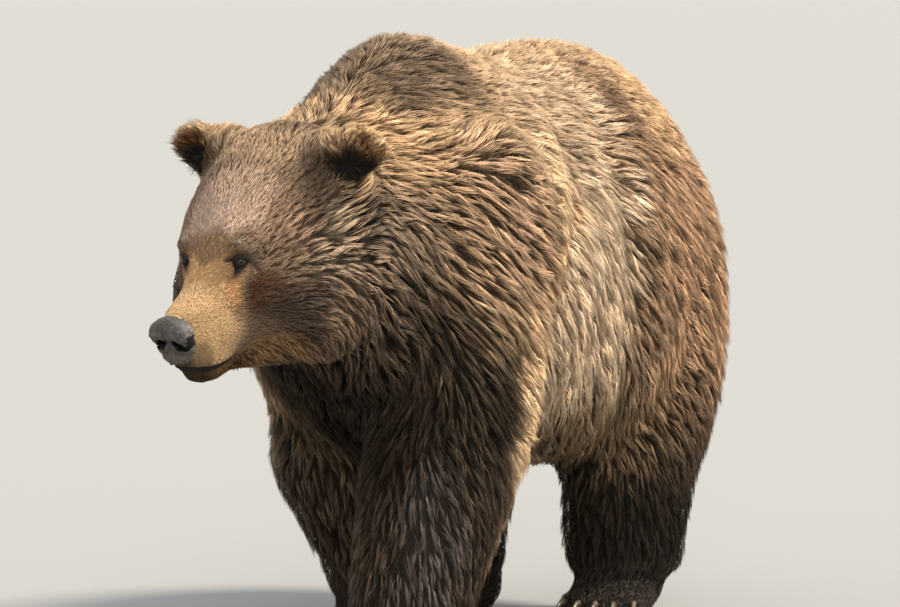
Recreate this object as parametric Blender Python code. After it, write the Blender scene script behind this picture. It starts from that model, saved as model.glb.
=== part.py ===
"""A brown bear, life size, standing still in mid-walk, divided into the parts that a person would name.

The bear faces -Y, its left side is +X and its soles rest on z = 0. All sizes are metres and reach to the
tips of the coat. The body is lofted cross-sections and rounded muscle masses, which a voxel remesh joins.
Thin gaps then part it into head, neck, trunk, limbs and so on. Eyes, nose and claws are made apart and
set into it.
"""

import math

import bmesh
import bpy
from mathutils import Matrix, Vector

# Driving dimensions.
HUMP_HEIGHT = 1.062
HEAD_PIVOT = Vector((-0.020, -0.400, 0.770))  # on the head's axis, just before the ears
HEAD_TURN = math.radians(-11)  # the head looks a little to the bear's right
HEAD_NOD = math.radians(19)  # and hangs below the level
EYE_FORWARD = 0.187  # from the pivot
EYE_SIDE = 0.053
EYE_RADIUS = 0.0115
EAR_SIDE = 0.160
EAR_BACK = 0.034  # of the ear's middle, behind the pivot
EAR_LEVEL = 0.094  # and over the eyes
FRONT_CLAW = 0.055
HIND_CLAW = 0.036
GAP = 0.0004  # between parts that touch

# How finely each stage is joined, and how many triangles the finished body and the nose keep.
COARSE_VOXEL = 0.014
FINE_VOXEL = 0.0062
NOSE_VOXEL = 0.0024
HEAD_STAGE_FACES = 6400
BODY_FACES = 3100
NOSE_FACES = 180

# Each paw: middle of the sole, heading in degrees turned to the left, length, width, claw length.
PAWS = {
    "front_left": ((0.116, -0.218), -10, 0.200, 0.172, FRONT_CLAW),
    "front_right": ((-0.104, 0.196), 8, 0.200, 0.172, FRONT_CLAW),
    "hind_left": ((0.148, 0.634), 8, 0.285, 0.156, HIND_CLAW),
    "hind_right": ((-0.132, 0.508), -8, 0.285, 0.156, HIND_CLAW),
}
# Side views of the space that each limb takes up, as (y, z) from the sole's back, over the top and down.
LIMB_SPACES = {
    "front_left": [
        (0.10, -0.1), (0.13, 0.40), (0.05, 0.55), (-0.12, 0.58), (-0.27, 0.48), (-0.50, 0.30), (-0.50, -0.1),
    ],
    "front_right": [
        (0.322, -0.1), (0.332, 0.16), (0.29, 0.40), (0.22, 0.55), (0.02, 0.58), (-0.09, 0.45), (-0.09, -0.1),
    ],
    "hind_left": [
        (1.30, -0.1), (1.30, 0.56), (0.74, 0.62), (0.57, 0.52), (0.46, 0.28), (0.38, 0.16), (0.38, -0.1),
    ],
    "hind_right": [
        (1.30, -0.1), (1.30, 0.56), (0.74, 0.62), (0.52, 0.52), (0.38, 0.28), (0.324, 0.16), (0.324, -0.1),
    ],
}
# Side view of the lower jaw's space in the head's own axes: along the lips, then down behind the chin.
MOUTH_LINE = [
    (-0.42, -0.128), (-0.335, -0.134), (-0.275, -0.147), (-0.190, -0.150), (-0.165, -0.40), (-0.42, -0.40),
]
# Heights at which the elbow or knee, and the wrist or ankle, part a limb.
LIMB_JOINTS = {"front": (0.36, 0.105), "hind": (0.32, 0.100)}


def main():
    clear()
    looks = materials()
    body = whole_body()
    claws = claw_objects()
    eyes = eye_objects()
    nose = nose_object()
    for inset in [*claws, *eyes, nose]:
        carve(body, inset)
    for name, part in divided(body).items():
        dressed(part, name, looks["coat"])
    for horn in claws:
        dressed(horn, horn.name, looks["claw"])
    for eye in eyes:
        dressed(eye, eye.name, looks["eye"])
    dressed(nose, "nose", looks["nose"])
    centred(bpy.data.objects)


def clear():
    for obj in list(bpy.data.objects):
        bpy.data.objects.remove(obj)


def materials():
    kinds = {
        "coat": ((0.150, 0.085, 0.045), 0.85),
        "claw": ((0.060, 0.045, 0.035), 0.35),
        "eye": ((0.020, 0.010, 0.006), 0.08),
        "nose": ((0.030, 0.026, 0.026), 0.45),
    }
    made = {}
    for name, (colour, roughness) in kinds.items():
        material = bpy.data.materials.new(name)
        material.use_nodes = True
        surface = material.node_tree.nodes["Principled BSDF"]
        surface.inputs["Base Color"].default_value = (*colour, 1)
        surface.inputs["Roughness"].default_value = roughness
        surface.inputs["Metallic"].default_value = 0.0
        made[name] = material
    return made


# ---- modelling helpers ------------------------------------------------------------------------------


def between(stations, steps=4):
    """The stations with more in each gap, on a smooth Catmull-Rom curve through all of them."""
    found = []
    for i in range(len(stations) - 1):
        before = stations[max(i - 1, 0)]
        start, end = stations[i], stations[i + 1]
        after = stations[min(i + 2, len(stations) - 1)]
        for step in range(steps):
            t = step / steps
            found.append(tuple(curve_value(*four, t) for four in zip(before, start, end, after)))
    found.append(tuple(stations[-1]))
    return found


def curve_value(a, b, c, d, t):
    """The Catmull-Rom curve's value between b, at t = 0, and c, at t = 1."""
    bend = 2 * a - 5 * b + 4 * c - d
    swing = 3 * b - a - 3 * c + d
    return 0.5 * (2 * b + (c - a) * t + bend * t**2 + swing * t**3)


def swollen(share, squareness):
    """A cosine or sine of a circle that a squareness over 2 swells and one under 2 pinches."""
    return math.copysign(abs(share) ** (2 / squareness), share)


def loft(bm, rings, sides=28):
    """Bridges rings, each a function from (cosine, sine) to a point, and closes both ends."""
    loops = []
    for ring in rings:
        made = bmesh.ops.create_circle(bm, cap_ends=False, radius=1.0, segments=sides)
        for vert in made["verts"]:
            vert.co = ring(vert.co.x, vert.co.y)
        loops.append(list({edge for vert in made["verts"] for edge in vert.link_edges}))
    for first, second in zip(loops, loops[1:]):
        bmesh.ops.bridge_loops(bm, edges=first + second)
    for end in (loops[0], loops[-1]):
        bmesh.ops.contextual_create(bm, geom=end)


def ball(bm, centre, radii, turn=(0, 0, 0), frame=None, segments=28):
    """An ellipsoid in the frame; turn is its rotation about X, then Y, then Z, in degrees."""
    spin = Matrix.Identity(4)
    for axis, angle in zip("XYZ", turn):
        spin = Matrix.Rotation(math.radians(angle), 4, axis) @ spin
    place = Matrix.Translation(centre) @ spin @ Matrix.Diagonal((*radii, 1))
    if frame is not None:
        place = frame @ place
    rings = max(segments * 2 // 3, 6)
    bmesh.ops.create_uvsphere(bm, u_segments=segments, v_segments=rings, radius=1.0, matrix=place)


def finished(name, bm):
    """An object with the bmesh's faces, all turned outwards."""
    bmesh.ops.recalc_face_normals(bm, faces=bm.faces)
    mesh = bpy.data.meshes.new(name)
    bm.to_mesh(mesh)
    bm.free()
    obj = bpy.data.objects.new(name, mesh)
    bpy.context.scene.collection.objects.link(obj)
    return obj


def applied(obj):
    """Replaces the object's mesh with what its modifiers make of it."""
    bpy.context.view_layer.update()
    graph = bpy.context.evaluated_depsgraph_get()
    mesh = bpy.data.meshes.new_from_object(obj.evaluated_get(graph))
    obj.modifiers.clear()
    obj.data = mesh
    return obj


def joined(obj, voxel, smoothing):
    """Melts the object's overlapping shells into one surface and softens the seams between them."""
    remesh = obj.modifiers.new("join", "REMESH")
    remesh.mode = "VOXEL"
    remesh.voxel_size = voxel
    smooth = obj.modifiers.new("soften", "SMOOTH")
    smooth.factor = 0.5
    smooth.iterations = smoothing
    return applied(obj)


def thinned(obj, faces, spared=None):
    """Keeps about this many triangles, and all those whose points the function spares."""
    count = sum(len(face.vertices) - 2 for face in obj.data.polygons)
    collapse = obj.modifiers.new("thin", "DECIMATE")
    collapse.ratio = min(faces / count, 1.0)
    if spared:
        group = obj.vertex_groups.new(name="thin")
        group.add([vert.index for vert in obj.data.vertices if not spared(vert.co)], 1.0, "REPLACE")
        collapse.vertex_group = "thin"
    return applied(obj)


def with_cut(obj, cutter, operation):
    cut = obj.modifiers.new("cut", "BOOLEAN")
    cut.operation = operation
    cut.solver = "EXACT"
    cut.object = cutter
    return applied(obj)


def copy_of(obj, name, growth=0.0):
    """A copy whose surface lies further out by the growth."""
    copy = bpy.data.objects.new(name, obj.data.copy())
    bpy.context.scene.collection.objects.link(copy)
    if growth:
        normals = [vert.normal.copy() for vert in copy.data.vertices]
        for vert, normal in zip(copy.data.vertices, normals):
            vert.co += normal * growth
    return copy


def carve(obj, inset):
    """Makes room in the object for the inset, with the gap all round."""
    cutter = copy_of(inset, "room", GAP)
    with_cut(obj, cutter, "DIFFERENCE")
    bpy.data.objects.remove(cutter)


def taken(obj, space, name):
    """Takes the part of the object that is inside the space, leaving the gap between the two."""
    part = copy_of(obj, name)
    with_cut(part, space, "INTERSECT")
    room = copy_of(space, "room", GAP)
    with_cut(obj, room, "DIFFERENCE")
    bpy.data.objects.remove(room)
    bpy.data.objects.remove(space)
    return part


def box(low, high, frame=None):
    """A block between two corners, in the frame."""
    low, high = Vector(low), Vector(high)
    size = high - low
    place = Matrix.Translation((low + high) / 2) @ Matrix.Diagonal((*size, 1))
    if frame is not None:
        place = frame @ place
    bm = bmesh.new()
    bmesh.ops.create_cube(bm, size=1.0, matrix=place)
    return finished("space", bm)


def prism(outline, low, high, frame=None):
    """A block with this outline of (y, z) points, between two values of x, in the frame."""
    bm = bmesh.new()
    corners = [bm.verts.new((low, y, z)) for y, z in outline]
    end = bm.faces.new(corners)
    grown = bmesh.ops.extrude_face_region(bm, geom=[end])["geom"]
    moved = [item for item in grown if isinstance(item, bmesh.types.BMVert)]
    bmesh.ops.translate(bm, verts=moved, vec=(high - low, 0, 0))
    if frame is not None:
        bmesh.ops.transform(bm, matrix=frame, verts=bm.verts)
    return finished("space", bm)


def dressed(obj, name, material):
    """Gives a finished part its name, its material and smooth shading with crisp cuts."""
    obj.name = name
    obj.data.name = name
    obj.data.materials.clear()
    obj.data.materials.append(material)
    obj.data.shade_smooth()
    obj.data.set_sharp_from_angle(angle=math.radians(45))


def centred(objects):
    """Moves the whole bear level, so that the origin lies under the middle of its bounding box."""
    points = [vert.co for obj in objects for vert in obj.data.vertices]
    middle = Vector((0, 0, 0))
    for axis in (0, 1):
        values = [point[axis] for point in points]
        middle[axis] = (min(values) + max(values)) / 2
    for obj in objects:
        obj.data.transform(Matrix.Translation(-middle))


def head_frame():
    """From the head's own axes (-Y to the nose, +Z up, level with the eyes) to the bear's."""
    nod = Matrix.Rotation(HEAD_NOD, 4, "X")
    turn = Matrix.Rotation(HEAD_TURN, 4, "Z")
    return Matrix.Translation(HEAD_PIVOT) @ turn @ nod


def paw_frame(which):
    """From a paw's own axes (-Y to the toes, z = 0 on the ground) to the bear's."""
    (x, y), heading = PAWS[which][:2]
    return Matrix.Translation((x, y, 0)) @ Matrix.Rotation(math.radians(heading), 4, "Z")


# ---- trunk, neck and tail ---------------------------------------------------------------------------


def trunk(bm):
    """Cross-sections from breast to rump: place, back, widest level, belly, half width, crest shape."""
    stations = [
        (-0.300, 0.900, 0.650, 0.500, 0.120, 1.8),
        (-0.200, 0.985, 0.640, 0.430, 0.185, 1.6),
        (-0.100, 1.036, 0.630, 0.370, 0.232, 1.55),
        (0.010, HUMP_HEIGHT, 0.630, 0.340, 0.268, 1.75),
        (0.120, 1.047, 0.620, 0.318, 0.278, 1.8),
        (0.260, 1.018, 0.610, 0.298, 0.285, 1.9),
        (0.430, 1.020, 0.600, 0.280, 0.300, 1.9),
        (0.600, 1.028, 0.600, 0.288, 0.305, 1.85),
        (0.760, 1.016, 0.610, 0.330, 0.285, 1.75),
        (0.890, 0.975, 0.620, 0.420, 0.245, 1.7),
        (0.980, 0.890, 0.630, 0.500, 0.190, 1.8),
        (1.040, 0.780, 0.640, 0.560, 0.100, 2.0),
    ]
    rings = []
    for y, back, level, belly, half, crest in between(stations):

        def ring(c, s, y=y, back=back, level=level, belly=belly, half=half, crest=crest):
            if s > 0:
                return Vector((half * swollen(c, crest), y, level + (back - level) * swollen(s, crest)))
            return Vector((half * swollen(c, 2.3), y, level + (level - belly) * swollen(s, 2.3)))

        rings.append(ring)
    loft(bm, rings, 40)


def neck(bm):
    """Cross-sections from inside the shoulders to inside the skull: place, level, half width, rise, drop."""
    stations = [
        (0.060, 0.000, 0.700, 0.225, 0.300, 0.240),
        (-0.100, 0.000, 0.710, 0.208, 0.290, 0.250),
        (-0.200, -0.004, 0.720, 0.192, 0.250, 0.240),
        (-0.290, -0.012, 0.730, 0.180, 0.200, 0.222),
        (-0.360, -0.020, 0.735, 0.170, 0.178, 0.205),
        (-0.410, -0.026, 0.735, 0.150, 0.160, 0.170),
    ]
    rings = []
    for y, x, level, half, rise, drop in between(stations):

        def ring(c, s, y=y, x=x, level=level, half=half, rise=rise, drop=drop):
            if s > 0:
                return Vector((x + half * swollen(c, 1.8), y, level + rise * swollen(s, 1.8)))
            return Vector((x + half * swollen(c, 2.2), y, level + drop * swollen(s, 2.2)))

        rings.append(ring)
    loft(bm, rings, 32)


def tail(bm):
    ball(bm, (0.0, 1.040, 0.765), (0.038, 0.032, 0.078), (14, 0, 0))


# ---- limbs ------------------------------------------------------------------------------------------


def limb(bm, stations):
    """Level cross-sections down a leg: height, place across and along, half width, half depth."""
    rings = []
    for z, x, y, half, depth in between(stations):

        def ring(c, s, z=z, x=x, y=y, half=half, depth=depth):
            return Vector((x + half * swollen(c, 2.15), y + depth * swollen(s, 2.15), z))

        rings.append(ring)
    loft(bm, rings)


def front_legs(bm):
    # The left one reaches forward.
    ball(bm, (0.180, 0.000, 0.660), (0.112, 0.180, 0.260), (6, 5, 0))
    limb(
        bm,
        [
            (0.620, 0.162, -0.020, 0.128, 0.175),
            (0.455, 0.156, -0.070, 0.136, 0.168),
            (0.370, 0.151, -0.102, 0.132, 0.166),
            (0.286, 0.145, -0.140, 0.128, 0.160),
            (0.200, 0.134, -0.164, 0.116, 0.148),
            (0.120, 0.121, -0.183, 0.102, 0.130),
            (0.060, 0.118, -0.194, 0.092, 0.112),
        ],
    )
    # The right one is left behind.
    ball(bm, (-0.180, 0.030, 0.660), (0.112, 0.180, 0.260), (6, -5, 0))
    limb(
        bm,
        [
            (0.620, -0.160, 0.080, 0.128, 0.170),
            (0.460, -0.156, 0.108, 0.132, 0.160),
            (0.340, -0.149, 0.106, 0.124, 0.146),
            (0.256, -0.136, 0.124, 0.115, 0.136),
            (0.171, -0.122, 0.178, 0.104, 0.125),
            (0.100, -0.112, 0.208, 0.096, 0.102),
            (0.060, -0.109, 0.206, 0.090, 0.096),
        ],
    )


def hind_legs(bm):
    # The left one is under the loin.
    ball(bm, (0.155, 0.760, 0.540), (0.135, 0.205, 0.300), (-6, 3, 0))
    limb(
        bm,
        [
            (0.620, 0.160, 0.760, 0.128, 0.195),
            (0.480, 0.166, 0.745, 0.132, 0.190),
            (0.360, 0.165, 0.715, 0.128, 0.178),
            (0.250, 0.158, 0.672, 0.117, 0.156),
            (0.150, 0.152, 0.664, 0.107, 0.140),
            (0.070, 0.149, 0.676, 0.094, 0.118),
        ],
    )
    # The right one swings forward.
    ball(bm, (-0.155, 0.750, 0.540), (0.135, 0.205, 0.300), (2, -3, 0))
    limb(
        bm,
        [
            (0.620, -0.160, 0.750, 0.128, 0.190),
            (0.480, -0.162, 0.705, 0.128, 0.180),
            (0.360, -0.155, 0.655, 0.118, 0.164),
            (0.250, -0.144, 0.600, 0.108, 0.146),
            (0.150, -0.135, 0.556, 0.098, 0.126),
            (0.070, -0.132, 0.548, 0.088, 0.106),
        ],
    )


def toes(length, width):
    """The middle of each of a paw's five toes, in the paw's own axes, from its right side to its left."""
    spread = width * 0.40
    for i in range(-2, 3):
        share = i / 2
        yield Vector((share * spread, -length * 0.42 + 0.022 * share * share, 0.027)), share


def paws(bm):
    for which, (_, _, length, width, _) in PAWS.items():
        frame = paw_frame(which)
        half = width / 2
        ball(bm, (0, -length * 0.10, 0.036), (half, length * 0.36, 0.052), frame=frame)
        ball(bm, (0, length * 0.26, 0.050), (half * 0.88, length * 0.24, 0.060), frame=frame)
        for middle, _ in toes(length, width):
            ball(bm, middle, (width * 0.122, 0.036, 0.033), frame=frame, segments=20)


# ---- head -------------------------------------------------------------------------------------------


def head(bm):
    frame = head_frame()
    # Forward of the ear line, top, underside and half width. Height 0 is the level of the eyes.
    stations = [
        (0.342, -0.054, -0.090, 0.024),
        (0.327, -0.042, -0.122, 0.036),
        (0.302, -0.034, -0.152, 0.046),
        (0.270, -0.025, -0.170, 0.051),
        (0.238, -0.012, -0.177, 0.055),
        (0.208, 0.010, -0.184, 0.065),
        (0.180, 0.040, -0.194, 0.088),
        (0.145, 0.070, -0.206, 0.116),
        (0.105, 0.098, -0.221, 0.142),
        (0.050, 0.124, -0.240, 0.160),
        (-0.010, 0.140, -0.256, 0.170),
        (-0.070, 0.142, -0.262, 0.174),
        (-0.120, 0.112, -0.240, 0.155),
    ]
    rings = []
    for forward, top, under, half in between(stations):

        def ring(c, s, forward=forward, top=top, under=under, half=half):
            middle = (top + under) / 2
            wide = 1 - 0.10 * max(s, 0)
            height = middle + (top - middle) * swollen(s, 2.2)
            return frame @ Vector((half * wide * swollen(c, 2.2), -forward, height))

        rings.append(ring)
    loft(bm, rings, 36)
    for side in (-1, 1):
        ball(bm, (side * 0.094, -0.044, -0.116), (0.082, 0.126, 0.112), frame=frame)  # cheek ruff
        ball(bm, (side * 0.048, -0.158, 0.018), (0.034, 0.038, 0.026), frame=frame)  # brow
        ball(bm, (side * 0.026, -0.302, -0.104), (0.028, 0.042, 0.036), frame=frame)  # whisker pad
        root = (side * 0.108, EAR_BACK, 0.100)
        ball(bm, root, (0.056, 0.044, 0.042), (0, side * 24, 0), frame)  # ear root
        ball(bm, ear_middle(side), (0.059, 0.033, 0.054), ear_lean(side), frame)
    ball(bm, (0, -0.256, -0.150), (0.038, 0.056, 0.030), frame=frame)  # chin


def ear_middle(side):
    return Vector((side * EAR_SIDE, EAR_BACK, EAR_LEVEL))


def ear_lean(side):
    """Each ear tips back, leans outwards and faces a little to its own side."""
    return (-8, side * 14, side * 5)


def ear_hollows():
    """What the cups of both ears leave out."""
    bm = bmesh.new()
    frame = head_frame()
    for side in (-1, 1):
        mouth = ear_middle(side) + Vector((side * 0.004, -0.031, 0.010))
        ball(bm, mouth, (0.038, 0.027, 0.035), ear_lean(side), frame, 16)
    return finished("ear hollows", bm)


def eye_objects():
    made = []
    for name, side in (("eye_left", 1), ("eye_right", -1)):
        bm = bmesh.new()
        centre = (side * EYE_SIDE, -EYE_FORWARD, 0)
        ball(bm, centre, (EYE_RADIUS,) * 3, frame=head_frame(), segments=10)
        made.append(finished(name, bm))
    return made


def nose_object():
    """The bare nose pad, which runs down to the upper lip and has two open nostrils."""
    frame = head_frame()
    bm = bmesh.new()
    ball(bm, (0, -0.332, -0.064), (0.034, 0.026, 0.025), (-8, 0, 0), frame)
    ball(bm, (0, -0.329, -0.094), (0.019, 0.021, 0.030), frame=frame)
    for side in (-1, 1):
        ball(bm, (side * 0.019, -0.334, -0.068), (0.017, 0.023, 0.021), frame=frame)
    nose = joined(finished("nose", bm), NOSE_VOXEL, 2)
    bm = bmesh.new()
    for side in (-1, 1):
        nostril = (side * 0.0165, -0.359, -0.071)
        ball(bm, nostril, (0.0075, 0.012, 0.0070), (0, side * 25, side * 20), frame, 8)
    nostrils = finished("nostrils", bm)
    thinned(nose, NOSE_FACES)
    with_cut(nose, nostrils, "DIFFERENCE")
    bpy.data.objects.remove(nostrils)
    return nose


# ---- claws ------------------------------------------------------------------------------------------


def claw_objects():
    made = []
    for which, (_, _, length, width, claw_length) in PAWS.items():
        frame = paw_frame(which)
        for number, (middle, share) in enumerate(toes(length, width), 1):
            root = middle + Vector((0, -0.018, 0.010))
            splay = Matrix.Rotation(math.radians(10 * share), 4, "Z")
            place = frame @ Matrix.Translation(root) @ splay
            made.append(claw(f"claw_{which}_{number}", place, claw_length))
    return made


def claw(name, place, length):
    """A tapered horn that leaves its root level, along -Y, and curls down to its tip."""
    steps = 4
    thick, deep = 0.0062, 0.0085
    y, z = 0.0, 0.0
    rings = []
    for step in range(steps + 1):
        along = step / steps
        slope = math.radians(2 - 62 * along)
        keep = max(1 - along**1.6, 0.12)

        def ring(c, s, y=y, z=z, slope=slope, keep=keep):
            across = Vector((thick * keep * c, 0, 0))
            up = Vector((0, math.sin(slope), math.cos(slope))) * (deep * keep * s)
            return place @ (Vector((0, y, z)) + across + up)

        rings.append(ring)
        y -= (length + 0.015) / steps * math.cos(slope)
        z += (length + 0.015) / steps * math.sin(slope)
    bm = bmesh.new()
    loft(bm, rings, 6)
    return finished(name, bm)


# ---- the whole body and its parts -------------------------------------------------------------------


def whole_body():
    """The bear without eyes, nose and claws, in one piece with level soles."""
    bm = bmesh.new()
    trunk(bm)
    neck(bm)
    front_legs(bm)
    hind_legs(bm)
    torso = joined(finished("torso", bm), COARSE_VOXEL, 14)
    bm = bmesh.new()
    bm.from_mesh(torso.data)
    bpy.data.objects.remove(torso)
    head(bm)
    tail(bm)
    paws(bm)
    body = joined(finished("body", bm), FINE_VOXEL, 5)
    hollows = ear_hollows()
    with_cut(body, hollows, "DIFFERENCE")
    bpy.data.objects.remove(hollows)
    thinned(body, HEAD_STAGE_FACES)
    thinned(body, BODY_FACES, in_head)
    body.vertex_groups.clear()
    ground = box((-1, -1, -1), (1, 2, 0))
    with_cut(body, ground, "DIFFERENCE")
    bpy.data.objects.remove(ground)
    return body


def in_head(point):
    return point.y < -0.36 and point.z > 0.45


def divided(body):
    """The body's parts by name."""
    parts = {}
    parts["tail"] = taken(body, tail_space(), "tail")
    for which, outline in LIMB_SPACES.items():
        side = 1 if which.endswith("left") else -1
        end, side_name = which.split("_")
        low, high = sorted((side * 0.003, side * 0.45))
        leg = taken(body, prism(outline, low, high), which)
        joint, ankle = LIMB_JOINTS[end]
        names = ("upper_arm", "forearm") if end == "front" else ("thigh", "shank")
        lower = taken(leg, box((-0.5, -0.8, -0.2), (0.5, 1.4, joint)), "lower")
        paw = taken(lower, box((-0.5, -0.8, -0.2), (0.5, 1.4, ankle)), "paw")
        parts[f"{names[0]}_{side_name}"] = leg
        parts[f"{names[1]}_{side_name}"] = lower
        parts[f"{end}_paw_{side_name}"] = paw
    parts["neck"] = taken(body, neck_space(), "neck")
    skull = taken(parts["neck"], box((-0.4, -0.6, -0.5), (0.4, 0.058, 0.5), face_frame()), "head")
    for side_name, side in (("left", 1), ("right", -1)):
        parts[f"ear_{side_name}"] = taken(skull, ear_space(side), "ear")
    parts["lower_jaw"] = taken(skull, prism(MOUTH_LINE, -0.2, 0.2, head_frame()), "lower_jaw")
    parts["head"] = skull
    parts["trunk"] = body
    return parts


def tail_space():
    bm = bmesh.new()
    ball(bm, (0.0, 1.058, 0.760), (0.060, 0.050, 0.110), (14, 0, 0), segments=12)
    return finished("space", bm)


def ear_space(side):
    bm = bmesh.new()
    middle = ear_middle(side) + Vector((side * 0.004, 0, 0.016))
    ball(bm, middle, (0.076, 0.064, 0.070), (0, side * 14, 0), head_frame(), 14)
    return finished("space", bm)


def face_frame():
    """Upright axes at the head's pivot that turn with the head but don't nod."""
    return Matrix.Translation(HEAD_PIVOT) @ Matrix.Rotation(HEAD_TURN, 4, "Z")


def neck_space():
    """All that is in front of the shoulders, as a block that leans back at its top."""
    return prism([(-1.0, 0.45), (-0.275, 0.45), (-0.140, 1.15), (-1.0, 1.15)], -0.5, 0.5)


main()
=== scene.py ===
"""A life-size brown bear: one skin, a coat of locks over it, eyes, nose pad and claws.

The head has axes of its own: -Y to the nose, +Z up, level 0 with the eyes. Places on it are given as
across, forward and level, places on the body as across, along and up. Both lie on left and right alike.
"""

import math

import bmesh
import bpy
import numpy as np
from mathutils import Matrix, Vector
from mathutils.bvhtree import BVHTree
from mathutils.kdtree import KDTree


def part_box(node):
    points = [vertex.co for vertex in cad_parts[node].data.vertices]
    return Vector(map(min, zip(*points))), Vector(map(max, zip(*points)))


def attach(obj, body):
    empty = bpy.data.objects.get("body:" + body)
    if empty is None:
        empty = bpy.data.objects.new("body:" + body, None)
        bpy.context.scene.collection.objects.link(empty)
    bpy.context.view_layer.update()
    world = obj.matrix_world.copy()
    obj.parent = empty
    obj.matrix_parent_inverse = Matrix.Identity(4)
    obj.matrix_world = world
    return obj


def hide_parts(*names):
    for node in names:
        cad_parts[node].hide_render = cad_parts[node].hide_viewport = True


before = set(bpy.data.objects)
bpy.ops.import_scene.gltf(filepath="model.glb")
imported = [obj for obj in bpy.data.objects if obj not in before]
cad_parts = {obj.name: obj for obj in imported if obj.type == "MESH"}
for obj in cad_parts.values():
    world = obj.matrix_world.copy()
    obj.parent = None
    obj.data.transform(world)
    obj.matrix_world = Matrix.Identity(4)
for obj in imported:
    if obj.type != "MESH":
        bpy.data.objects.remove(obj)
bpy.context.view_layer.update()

# ---- the head's own axes

HEAD_TURN = math.radians(-11)
HEAD_NOD = math.radians(19)
EYE_FORWARD = 0.187
EYE_SIDE = 0.053
EYE_RADIUS = 0.0115
EYE_LOOKS = (0.62, -0.78, 0.04)  # the way the left eye looks


def middle(node):
    low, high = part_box(node)
    return (low + high) / 2


def head_frame():
    """From the head's own axes to the bear's, found from where its eyes are."""
    turned = Matrix.Rotation(HEAD_TURN, 4, "Z") @ Matrix.Rotation(HEAD_NOD, 4, "X")
    between_eyes = (middle("eye_left") + middle("eye_right")) / 2
    return Matrix.Translation(between_eyes) @ turned @ Matrix.Translation((0, EYE_FORWARD, 0))


HEAD = head_frame()
HEAD_PLACE = np.array(HEAD.translation)
HEAD_AXES = np.array(HEAD.to_3x3())


def in_head_axes(points):
    return (points - HEAD_PLACE) @ HEAD_AXES


def turned_with_head(directions):
    return directions @ HEAD_AXES.T


def out_of_head_axes(head):
    return turned_with_head(head) + HEAD_PLACE


# ---- values at points


def step(low, high, value):
    """0 below low, 1 above high, and smooth between them."""
    t = np.clip((value - low) / (high - low), 0, 1)
    return t * t * (3 - 2 * t)


def bell(value, top, width):
    """1 at the top, falling off on both sides of it."""
    return np.exp(-(((value - top) / width) ** 2))


def unit(vectors):
    return vectors / np.maximum(np.linalg.norm(vectors, axis=1, keepdims=True), 1e-12)


def flattened(vectors, normals):
    """The part of each vector that lies along the surface, one long."""
    return unit(vectors - normals * (vectors * normals).sum(1, keepdims=True))


def drift(points, size, seed, waves=7):
    """A smooth random value between about -1 and 1 that wanders over that many metres."""
    rng = np.random.default_rng(seed)
    total = np.zeros(len(points))
    for _ in range(waves):
        wave = unit(rng.normal(size=(1, 3)))[0] * (2 * math.pi / size) * rng.uniform(0.5, 1.6)
        total += np.sin(points @ wave + rng.uniform(0, 2 * math.pi))
    return total / 2.6


def spread(values, edges, times, share=0.5):
    """The values eased towards their neighbours' along the edges, that many times."""
    values = np.array(values, float)
    flat = values.reshape(len(values), -1)
    a, b = edges.T
    count = np.bincount(edges.ravel(), minlength=len(flat))[:, None]
    for _ in range(times):
        total = np.empty_like(flat)
        for column in range(flat.shape[1]):
            total[:, column] = np.bincount(a, flat[b, column], len(flat))
            total[:, column] += np.bincount(b, flat[a, column], len(flat))
        flat = flat * (1 - share) + total / count * share
    return flat.reshape(values.shape)


def spread_where(values, edges, chosen, times):
    """The same for the chosen points alone, with the rest held."""
    used = edges[chosen[edges].any(1)]
    numbers, small = np.unique(used, return_inverse=True)
    part, held = values[numbers].copy(), ~chosen[numbers]
    small = small.reshape(-1, 2)
    for _ in range(times):
        eased = spread(part, small, 1, 0.7)
        eased[held] = part[held]
        part = eased
    made = values.copy()
    made[numbers] = part
    return made


def from_middle(places, centre, radii):
    """How far places are from an egg's middle, 1 at its surface, on left and right alike."""
    mirrored = np.column_stack([np.abs(places[:, 0]), places[:, 1], places[:, 2]])
    return np.linalg.norm((mirrored - np.array(centre)) / np.array(radii), axis=1)


def laid_over(colour, other, share):
    """Covers the colours with another one, by that share at each point."""
    colour[:] = colour + (np.array(other) - colour) * share[:, None]


# ---- meshes


def linked(name, data):
    obj = bpy.data.objects.new(name, data)
    bpy.context.scene.collection.objects.link(obj)
    return obj


def placed(name, mesh, slot, material, *nodes):
    """A finished piece: it rides on the body, has a finish and stands for those solids."""
    mesh.name = name
    mesh.materials.append(material)
    obj = linked(name, mesh)
    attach(obj, "root")
    if nodes:
        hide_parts(*nodes)


def as_bmesh(mesh):
    """A bmesh of that mesh, which goes."""
    bm = bmesh.new()
    bm.from_mesh(mesh)
    bpy.data.meshes.remove(mesh)
    return bm


def as_mesh(bm):
    """A mesh of that bmesh, which goes."""
    mesh = bpy.data.meshes.new("work")
    bm.to_mesh(mesh)
    bm.free()
    mesh.update()
    return mesh


def baked(bm, *modifiers):
    """A mesh of that bmesh after those modifiers, each given as its type and settings."""
    mesh = as_mesh(bm)
    obj = linked("work", mesh)
    for kind, settings in modifiers:
        modifier = obj.modifiers.new(kind, kind)
        for key, value in settings.items():
            setattr(modifier, key, value)
    graph = bpy.context.evaluated_depsgraph_get()
    made = bpy.data.meshes.new_from_object(obj.evaluated_get(graph))
    bpy.data.objects.remove(obj)
    bpy.data.meshes.remove(mesh)
    return made


def voxels(size):
    return ("REMESH", {"mode": "VOXEL", "voxel_size": size, "adaptivity": 0.0})


def values_of(items, key, width, kind=float):
    """That value of each item, a row each."""
    flat = np.empty(len(items) * width, kind)
    items.foreach_get(key, flat)
    return flat.reshape(-1, width)


def points_of(mesh):
    return values_of(mesh.vertices, "co", 3)


def normals_of(mesh):
    return values_of(mesh.vertex_normals, "vector", 3)


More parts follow.
